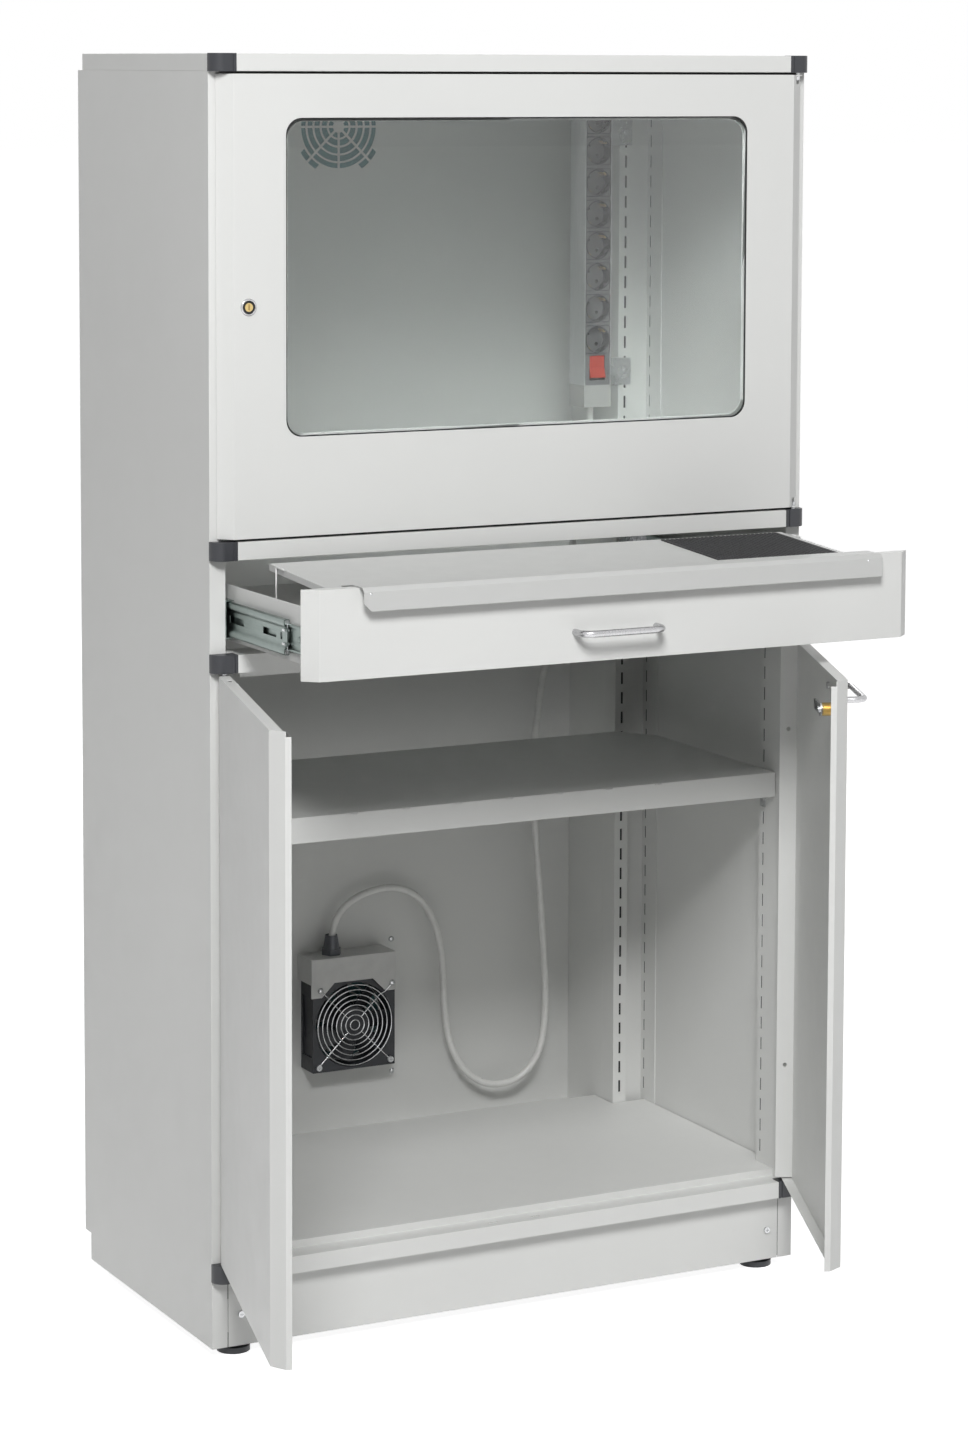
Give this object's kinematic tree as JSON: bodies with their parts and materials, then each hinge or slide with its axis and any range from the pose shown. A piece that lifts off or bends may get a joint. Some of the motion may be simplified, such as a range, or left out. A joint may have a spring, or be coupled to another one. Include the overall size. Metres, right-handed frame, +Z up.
{
  "type": "computer armoire",
  "caption": "Tall steel computer cabinet with a glazed upper door, a keyboard drawer with a tilting tray, and a pair of lower doors over a shelf and ventilated computer space.",
  "frame": {"origin": "on the floor, in the middle of the four levelling feet", "axes": "+Z up, -Y out of the front, +X to the right seen from the front"},
  "size_m": [0.8888, 0.8933, 1.5305],
  "materials": {
    "grey_paint": "fine satin powder coat",
    "black_plastic": "satin",
    "zinc": "zinc plated",
    "cage_plastic": "satin",
    "chrome": "satin chrome",
    "brass": "turned",
    "glass": "clear, faint green edge",
    "black_rubber": "matt",
    "grey_plastic": "fine grain",
    "filter_green": "open fleece",
    "strip_metal": "anodised",
    "red_plastic": "glossy"
  },
  "bodies": {
    "case": {"side_panel_left": "grey_paint", "side_panel_right": "grey_paint", "front_upright_left": "grey_paint", "front_upright_right": "grey_paint", "rear_upright_left": "grey_paint", "rear_upright_right": "grey_paint", "top_cap": "grey_paint", "mid_divider": "grey_paint", "lower_rail": "grey_paint", "base_floor": "grey_paint", "rear_cover": "grey_paint", "plinth_front": "grey_paint", "plinth_rear": "grey_paint", "foot_brackets": "grey_paint", "foot_pads": "black_plastic", "foot_spindles": "zinc", "corner_blocks": "black_plastic", "hinge_pins": "zinc", "slide_outer_members": "zinc", "slide_brackets": "zinc", "shelf": "grey_paint", "shelf_clips": "zinc", "filter_mats": "filter_green", "filter_grilles": "grey_plastic", "fan_frame": "black_plastic", "fan_guard": "zinc", "fan_screws": "zinc", "junction_box": "grey_plastic", "cable_gland": "grey_plastic", "supply_cord": "grey_plastic", "strip_housing": "strip_metal", "socket_insert": "grey_plastic", "earth_clips": "brass", "strip_ends": "grey_plastic", "strip_brackets": "zinc", "case_screws": "zinc"},
    "upper_door": {"upper_door_leaf": "grey_paint", "window_seal": "black_rubber", "window_pane": "glass", "window_frame": "grey_paint", "upper_lock_housing": "chrome"},
    "upper_lock": {"upper_lock_plug": "brass", "upper_lock_cam": "zinc"},
    "left_door": {"lower_door_left": "grey_paint"},
    "right_door": {"lower_door_right": "grey_paint", "right_lock_housing": "chrome", "door_handle": "chrome"},
    "right_lock": {"right_lock_plug": "brass", "right_lock_cam": "zinc"},
    "drawer": {"drawer_front": "grey_paint", "drawer_box": "grey_paint", "drawer_handle": "chrome", "slide_inner_members": "zinc"},
    "slide_middle": {"slide_middle_members": "zinc", "ball_cages": "cage_plastic"},
    "tray": {"keyboard_tray": "grey_paint", "mouse_mat": "black_rubber", "wire_stays": "zinc"},
    "fan": {"fan_rotor": "black_plastic"},
    "rocker": {"rocker_switch": "red_plastic"}
  },
  "joints": [
    {"name": "upper_door_hinge", "type": "hinge", "parent": "case", "child": "upper_door", "pos_m": [0.385, -0.2005, 1.2395], "axis": [0, 0, 1], "range_deg": [0, 110]},
    {"name": "upper_lock_turn", "type": "hinge", "parent": "upper_door", "child": "upper_lock", "pos_m": [-0.357, -0.2005, 1.24], "axis": [0, 1, 0], "range_deg": [0, 90]},
    {"name": "left_door_hinge", "type": "hinge", "parent": "case", "child": "left_door", "pos_m": [-0.385, -0.2005, 0.466], "axis": [0, 0, 1], "range_deg": [-5, 105]},
    {"name": "right_door_hinge", "type": "hinge", "parent": "case", "child": "right_door", "pos_m": [0.385, -0.2005, 0.466], "axis": [0, 0, 1], "range_deg": [-67, 43]},
    {"name": "right_lock_turn", "type": "hinge", "parent": "right_door", "child": "right_lock", "pos_m": [0.25299, -0.49102, 0.771], "axis": [0.9205, -0.3907, 0], "range_deg": [0, 90]},
    {"name": "drawer_slide", "type": "slide", "parent": "case", "child": "drawer", "axis": [0, 1, 0], "range_m": [0, 0.243]},
    {"name": "slide_middle_run", "type": "slide", "parent": "case", "child": "slide_middle", "axis": [0, 1, 0], "range_m": [0, 0.156]},
    {"name": "tray_tilt", "type": "hinge", "parent": "drawer", "child": "tray", "pos_m": [0, -0.4518, 0.9442], "axis": [-1, 0, 0], "range_deg": [-20, 0]},
    {"name": "fan_spin", "type": "hinge", "parent": "case", "child": "fan", "pos_m": [0.005, 0.2875, 0.251], "axis": [0, 1, 0], "continuous": true},
    {"name": "rocker_tilt", "type": "hinge", "parent": "case", "child": "rocker", "pos_m": [0.302, 0.1605, 1.123], "axis": [1, 0, 0], "range_deg": [0, 16]}
  ],
  "couplings": [
    {"joint": "slide_middle_run", "follows": "drawer_slide", "ratio": 0.64}
  ]
}
